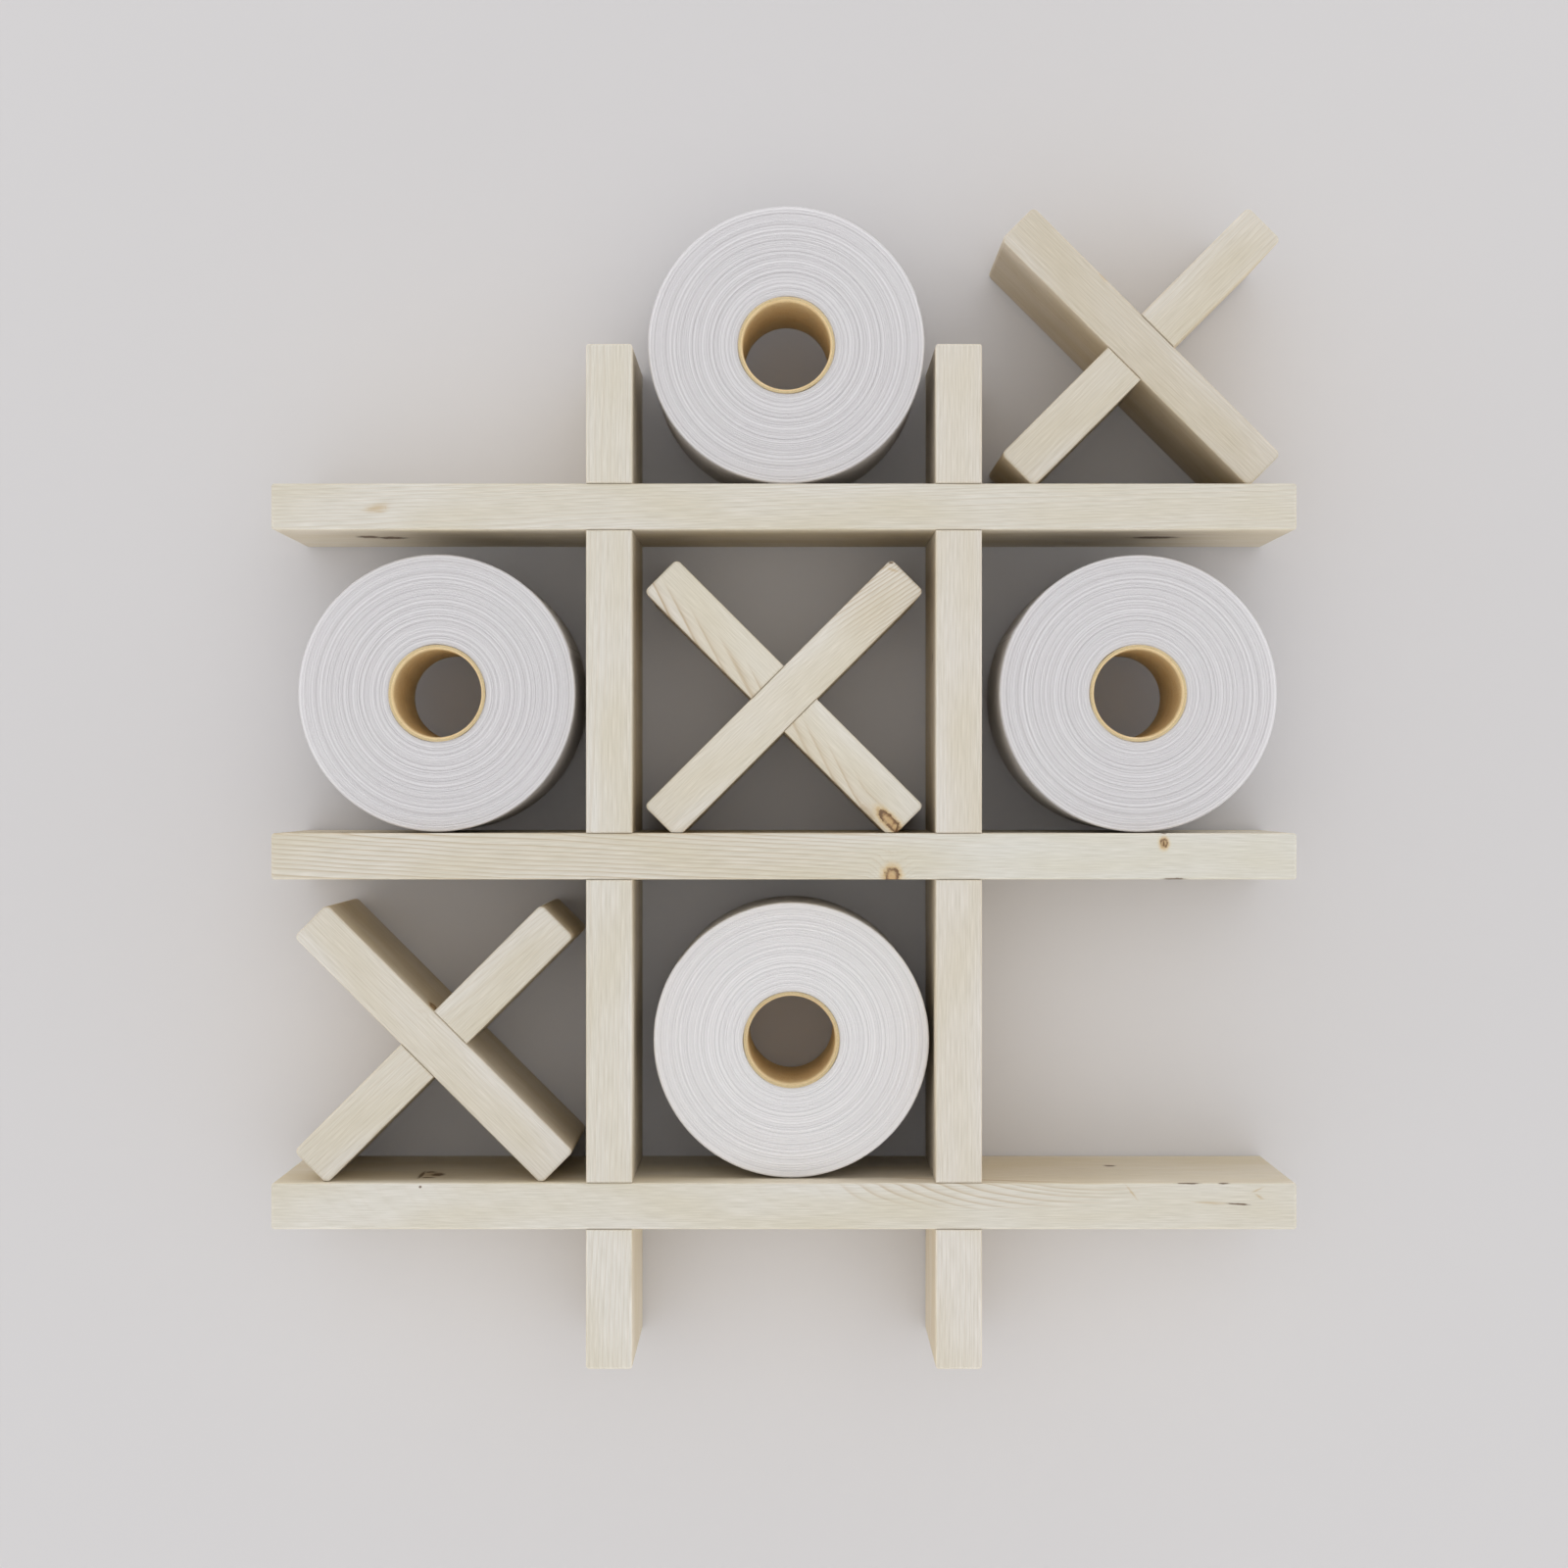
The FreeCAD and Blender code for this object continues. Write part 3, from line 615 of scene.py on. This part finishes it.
# %% Sizes of the winding
SECTIONS = 120  # steps round a roll
BANDS = 42  # groups of sheets that can be told apart on an end
SIDE_ROWS, RIM_STEPS = 23, 5  # steps along the outside, and round a rim
PAPER_WALL = 37.4 * MM  # from the core to the outside
SHEET_STEP = 0.35 * MM  # thickness of the free end of the sheet
RIM_ROUND = 0.8 * MM
END_SUNK = 0.45 * MM  # room that the CAD length leaves for the proudest sheets
WOBBLE, WOBBLE_TURN = 0.05 * MM, 1.8 / MM  # unevenness of a ring, and how it turns with the radius
WOBBLE_DEEP = 0.6  # share of it that moves a ring in depth
FIRM_RIM, FIRM_WOBBLE = 3 * MM, 0.2  # the outermost sheets keep only this share of it
STEP_FADE = 8  # power with which the step at the free end fades inwards
BAND_WIDTHS = (0.6, 1.4)  # least and greatest, in times the mean
GROOVES = (0.1, 0.34)  # mm, least and greatest depth between two bands
DRIFT, JITTER, PROUDEST = 0.03, 0.02, 0.2  # mm that bands stand proud: step by step, each, at most
SHOULDERS = (0.25, 0.8)  # where the flat of a band starts and ends, as shares of its width
# Darkest and lightest sheets. The second pair is painted light: a lighter paper that makes up for shade
PAPER, PAINTED_LIGHT_PAPER = ("#c9c6c8", "#dfdddf"), ("#dad8d9", "#ebe9ea")
# Where the free end of the sheet lies, in degrees, and the paper
ROLLS = {
    "roll_top": (19, PAPER),
    "roll_left": (17, PAPER),
    "roll_right": (153, PAPER),
    # The bottom roll's paper is painted lighter, to offset the shade in its deeper cell
    "roll_bottom": (147, PAINTED_LIGHT_PAPER),
}
SHEETS_ROUND = 3  # sheets, and rows of perforations, once round a roll
CUT_WIDTH, CUT_PITCH = 0.3, 2.8  # mm, of a perforation: real ones are finer than a pixel
FIRST_ROW = 3  # degrees from the free end to the first row of perforations
print(BANDS, "bands on each end of", len(ROLLS), "rolls")


# %% Mesh helpers
def link_mesh(name, vertices, faces, material):
    """A smooth-shaded mesh object in the scene."""
    mesh = bpy.data.meshes.new(name)
    mesh.from_pydata([tuple(v) for v in vertices], [], faces)
    mesh.validate()
    mesh.shade_smooth()
    thing = bpy.data.objects.new(name, mesh)
    thing.data.materials.append(material)
    scene.collection.objects.link(thing)
    return thing


def closed_tube(rows, columns):
    """Quads between rows of a closed band, and from the last row back to the first."""
    faces = []
    for i in range(rows):
        this, following = i * columns, (i + 1) % rows * columns
        for j in range(columns):
            k = (j + 1) % columns
            faces.append((this + j, this + k, following + k, following + j))
    return faces


print(len(closed_tube(2, SECTIONS)), "faces between two rows, there and back")


# %% The paper of a roll
def winding_rows(chance, inner, outer):
    """Radii and heights of the rings on one end, from the bore outwards."""
    widths = chance.uniform(*BAND_WIDTHS, BANDS)
    edges = inner + (outer - inner) * np.concatenate([[0], np.cumsum(widths) / widths.sum()])
    drift = np.cumsum(chance.normal(0, DRIFT, BANDS))
    drift -= np.linspace(drift[0], drift[-1], BANDS)
    proud = np.clip(drift + chance.normal(0, JITTER, BANDS), -PROUDEST, PROUDEST) * MM
    rows = []
    for i in range(BANDS):
        width = edges[i + 1] - edges[i]
        groove = chance.uniform(*GROOVES) * MM
        rows.append((edges[i], min(proud[i], proud[max(i - 1, 0)]) - groove))
        rows += [(edges[i] + shoulder * width, proud[i]) for shoulder in SHOULDERS]
    return rows


def wound_paper(name, free_end, material, seed):
    """A closed ring of wound paper in the place of its CAD node."""
    chance = np.random.RandomState(seed)
    low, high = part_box(f"{name}_paper")
    middle_x, middle_z = (low.x + high.x) / 2, (low.z + high.z) / 2
    outer = (high.x - low.x) / 2
    inner = outer - PAPER_WALL
    angle = np.linspace(0, 2 * math.pi, SECTIONS, endpoint=False)
    since_end = ((angle - math.radians(free_end)) % (2 * math.pi)) / (2 * math.pi)
    waves = [(n, chance.uniform(0, 2 * math.pi)) for n in (2, 3, 5, 7)]

    def ring(radius, depth):
        near_outside = max(0.0, (radius - inner) / PAPER_WALL) ** STEP_FADE
        wobble = sum(WOBBLE * np.sin(n * angle + start + WOBBLE_TURN * radius) for n, start in waves)
        loose = FIRM_WOBBLE if radius > outer - FIRM_RIM else 1.0
        r = np.minimum(radius - SHEET_STEP * since_end * near_outside + wobble * loose, outer)
        y = np.clip(depth + wobble * WOBBLE_DEEP, low.y, high.y)
        return np.stack([middle_x + r * np.cos(angle), y, middle_z + r * np.sin(angle)], 1)

    # Each row is a radius and a height above the sunk end face
    front = winding_rows(chance, inner, outer - RIM_ROUND)
    back = winding_rows(chance, inner, outer - RIM_ROUND)
    turns = [math.pi / 2 * i / RIM_STEPS for i in range(1, RIM_STEPS + 1)]
    rim = [(outer - RIM_ROUND * (1 - math.sin(t)), -RIM_ROUND * (1 - math.cos(t))) for t in turns]
    front_end, back_end = low.y + END_SUNK, high.y - END_SUNK
    side = np.linspace(front_end + RIM_ROUND, back_end - RIM_ROUND, SIDE_ROWS + 2)[1:-1]
    rows = [ring(radius, front_end - proud) for radius, proud in front + rim]
    rows += [ring(outer, depth) for depth in side]
    rows += [ring(radius, back_end + proud) for radius, proud in reversed(back + rim)]
    faces = closed_tube(len(rows), SECTIONS)
    paper = link_mesh(f"{name}_wound_paper", np.concatenate(rows), faces, material)
    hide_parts(f"{name}_paper")
    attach(paper, name)
    return paper


# %% The perforations
def perforations(tree, spot, radius, free_end):
    """1 in the cuts between two sheets, which run in rows from end to end of a roll."""
    place = add(tree, "SeparateXYZ", {0: spot}, None)
    round_it = add(tree, "Math", {0: place["Z"], 1: place["X"]}, operation="ARCTAN2")
    round_it = add(tree, "Math", {0: round_it, 1: math.radians(free_end + FIRST_ROW)}, operation="SUBTRACT")
    half_sheet = math.pi / SHEETS_ROUND
    off_row = add(tree, "Math", {0: round_it, 1: half_sheet, 2: -half_sheet}, operation="WRAP")
    off_row = add(tree, "Math", {0: off_row, 1: radius}, operation="MULTIPLY")
    off_row = add(tree, "Math", {0: off_row}, operation="ABSOLUTE")
    row = add(tree, "MapRange", {"Value": off_row, "From Min": CUT_WIDTH, "From Max": CUT_WIDTH / 2})
    along = add(tree, "Math", {0: place["Y"], 1: CUT_PITCH}, operation="DIVIDE")
    along = add(tree, "Math", {0: along}, operation="FRACT")
    cut = add(tree, "MapRange", {"Value": along, "From Min": 0.3, "From Max": 0.4})
    return add(tree, "Math", {0: cut, 1: row}, operation="MULTIPLY")


# %% The tissue material
SHEET_BAND, DIMPLE, CREPE = 0.9, 3.2, 0.6  # mm: tones of the sheets, embossing and crepe folds
EMBOSSED, TRANSLUCENT = 0.25 * MM, 6 * MM  # depth of a dimple, and how far light travels inside


def tissue(name, free_end, sheets_from, sheets_to):
    """Bleached crepe tissue: white, soft and quite matt, embossed with small dimples outside."""
    material, tree = new_material(f"embossed_tissue_{name}")
    low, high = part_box(f"{name}_paper")
    spot = millimetres(tree, (low + high) / 2 / MM)
    flat = add(tree, "VectorMath", {0: spot, 1: (1, 0, 1)}, operation="MULTIPLY")
    radius = add(tree, "VectorMath", {0: flat}, "Value", operation="LENGTH")
    banded = {"W": radius, "Scale": 1 / SHEET_BAND, "Detail": 2.0}
    sheets = add(tree, "TexNoise", banded, "Fac", noise_dimensions="1D")
    colour = add(tree, "ValToRGB", {"Fac": sheets}, stops=[(0.35, sheets_from), (0.65, sheets_to)])
    outside = {"Value": turned_to_front(tree), "From Min": 0.6, "From Max": 0.2}
    outside = add(tree, "MapRange", outside)

    cut = perforations(tree, spot, radius, free_end)
    for share in (outside, 0.6):
        cut = add(tree, "Math", {0: cut, 1: share}, operation="MULTIPLY")
    torn = {FACTOR: cut, COLOUR_A: colour, COLOUR_B: linear("#8a8686")}
    colour = add(tree, "Mix", torn, MIXED, data_type="RGBA")

    embossing = {"Vector": spot, "Scale": 1 / DIMPLE}
    dimples = add(tree, "TexVoronoi", embossing, "Distance", feature="SMOOTH_F1")
    dimples = add(tree, "Math", {0: dimples, 1: outside}, operation="MULTIPLY")
    crepe = add(tree, "TexNoise", {"Vector": spot, "Scale": 1 / CREPE, "Detail": 3.0}, "Fac")
    relief = add(tree, "Math", {0: crepe, 1: 0.25, 2: dimples}, operation="MULTIPLY_ADD")
    bump = add(tree, "Bump", {"Height": relief, "Strength": 0.6, "Distance": EMBOSSED})
    surface = {"Base Color": colour, "Normal": bump, "Roughness": 0.92}
    surface |= {"IOR": 1.47, "Specular IOR Level": 0.2, "Sheen Weight": 0.08, "Sheen Roughness": 0.6}
    # Tissue is translucent, so light travels some millimetres between the sheets
    surface |= {"Subsurface Weight": 0.5, "Subsurface Radius": (1.0, 1.0, 1.0)}
    surface |= {"Subsurface Scale": TRANSLUCENT}
    add(tree, "OutputMaterial", {"Surface": add(tree, "BsdfPrincipled", surface)}, None)
    return material


for seed, (name, (free_end, sheets)) in enumerate(ROLLS.items(), 11):
    paper = wound_paper(name, free_end, tissue(name, free_end, *sheets), seed)
    print(paper.name, len(paper.data.polygons), "faces")

# %% [markdown]
# ## Card cores
# The core is a tube of golden-tan board wound as a spiral from two strips, so a seam climbs round its
# inside. The seam could be a line in the material, but it is a real gap between two edges of card,
# so the mesh is twisted until one of its columns follows the seam and sinks there.

# %% A core
CORE_COLUMNS, CORE_ROWS = 96, 17
CARD_WALL, CARD_LIP, SEAM_DEPTH = 1.1 * MM, 0.2 * MM, 0.25 * MM
SEAM_CLIMB = 70 * MM  # the seam goes round once in this length
FRAY = 0.04 * MM  # unevenness of the cut ends


def card_core(name, material, seed):
    """A spiral-wound tube in the place of its CAD node."""
    chance = np.random.RandomState(seed)
    low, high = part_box(f"{name}_core")
    middle_x, middle_z = (low.x + high.x) / 2, (low.z + high.z) / 2
    outer = (high.x - low.x) / 2
    inner = outer - CARD_WALL
    start = chance.uniform(0, 2 * math.pi)
    angle = np.linspace(0, 2 * math.pi, CORE_COLUMNS, endpoint=False)
    fray = np.abs(chance.normal(0, FRAY, CORE_COLUMNS))

    def ring(radius, y, seam=0.0, frayed=0.0):
        turned = angle + start + 2 * math.pi / SEAM_CLIMB * (y - low.y)
        r = np.full(CORE_COLUMNS, radius)
        r[0] += seam
        depth = np.clip(y + frayed * fray, low.y, high.y)
        return np.stack([middle_x + r * np.cos(turned), depth, middle_z + r * np.sin(turned)], 1)

    depths = np.linspace(low.y + CARD_LIP, high.y - CARD_LIP, CORE_ROWS)
    rows = [ring(outer, y) for y in depths]
    rows += [ring(radius, high.y, frayed=-1) for radius in (outer - CARD_LIP, inner + CARD_LIP)]
    rows += [ring(inner, y, seam=SEAM_DEPTH) for y in reversed(depths)]
    rows += [ring(radius, low.y, frayed=1) for radius in (inner + CARD_LIP, outer - CARD_LIP)]
    faces = closed_tube(len(rows), CORE_COLUMNS)
    core = link_mesh(f"{name}_card_core", np.concatenate(rows), faces, material)
    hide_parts(f"{name}_core")
    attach(core, name)
    return core


# %% The card material
CLOUD, FLECK = 6.0, 0.7  # mm: patches of tone, and flecks of other paper
CARD_RELIEF = 0.1 * MM


def wound_card():
    """Recycled board: golden tan, matt, with flecks and short fibres of other paper in it."""
    material, tree = new_material("wound_core_board")
    spot = millimetres(tree)
    cloud = add(tree, "TexNoise", {"Vector": spot, "Scale": 1 / CLOUD, "Detail": 4.0}, "Fac")
    liner = add(tree, "ValToRGB", {"Fac": cloud}, stops=[(0.3, "#f1d8a9"), (0.7, "#f7e2b9")])

    # The cut edge shows the greyer board between the liners
    edge = add(tree, "MapRange", {"Value": turned_to_front(tree), "From Min": 0.5, "From Max": 0.9})
    edged = {FACTOR: edge, COLOUR_A: liner, COLOUR_B: linear("#cbb78f")}
    colour = add(tree, "Mix", edged, MIXED, data_type="RGBA")
    fleck = add(tree, "TexNoise", {"Vector": spot, "Scale": 1 / FLECK, "Detail": 2.0}, "Fac")
    fleck = add(tree, "ValToRGB", {"Fac": fleck}, stops=[(0.3, "#e6dccc"), (0.45, "#ffffff")])
    flecked = {FACTOR: 0.6, COLOUR_A: colour, COLOUR_B: fleck}
    colour = add(tree, "Mix", flecked, MIXED, data_type="RGBA", blend_type="MULTIPLY")
    bump = add(tree, "Bump", {"Height": cloud, "Strength": 0.4, "Distance": CARD_RELIEF})
    surface = {"Base Color": colour, "Normal": bump, "Roughness": 0.8}
    surface |= {"IOR": 1.5, "Specular IOR Level": 0.25}
    add(tree, "OutputMaterial", {"Surface": add(tree, "BsdfPrincipled", surface)}, None)
    return material


card = wound_card()
for seed, name in enumerate(ROLLS, 31):
    core = card_core(name, card, seed)
    print(core.name, len(core.data.polygons), "faces")

# %% [markdown]
# ## Zinc-plated steel
# The keyhole plates and their screws are mild steel, stamped and turned, then plated with zinc. Zinc
# gives a bluish grey metal with cloudy patches and fine scratches along the plate, and it is never as
# bright as chrome. The plates show only from behind, so this stays a simple metal.

# %% Steel on the hangers and screws
PATCH, SCRATCH_WIDE, SCRATCH_LONG = 5.0, 0.3, 9.0  # mm
SCRATCH_DEEP = 0.02 * MM


def zinc_plated_steel():
    """Dull bluish metal: cloudy, with fine scratches."""
    material, tree = new_material("zinc_plated_steel")
    spot = millimetres(tree)
    cloud = add(tree, "TexNoise", {"Vector": spot, "Scale": 1 / PATCH, "Detail": 3.0}, "Fac")
    colour = add(tree, "ValToRGB", {"Fac": cloud}, stops=[(0.3, "#a9adb2"), (0.7, "#c3c6c9")])
    fine = (1 / SCRATCH_WIDE, 1 / SCRATCH_WIDE, 1 / SCRATCH_LONG)
    drawn = add(tree, "VectorMath", {0: spot, 1: fine}, operation="MULTIPLY")
    scratch = add(tree, "TexNoise", {"Vector": drawn, "Scale": 1.0, "Detail": 3.0}, "Fac")
    rough = {"Value": scratch, "From Min": 0.3, "From Max": 0.7, "To Min": 0.28, "To Max": 0.45}
    rough = add(tree, "MapRange", rough)
    bump = add(tree, "Bump", {"Height": scratch, "Strength": 0.25, "Distance": SCRATCH_DEEP})
    surface = {"Base Color": colour, "Metallic": 1.0, "Roughness": rough, "Normal": bump}
    add(tree, "OutputMaterial", {"Surface": add(tree, "BsdfPrincipled", surface)}, None)
    return material


steel = zinc_plated_steel()
for name in ("keyhole_hanger_left", "keyhole_hanger_right", "hanger_screws"):
    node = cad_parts[name]
    node.data.materials.clear()
    node.data.materials.append(steel)
    print(name, "is zinc-plated steel")
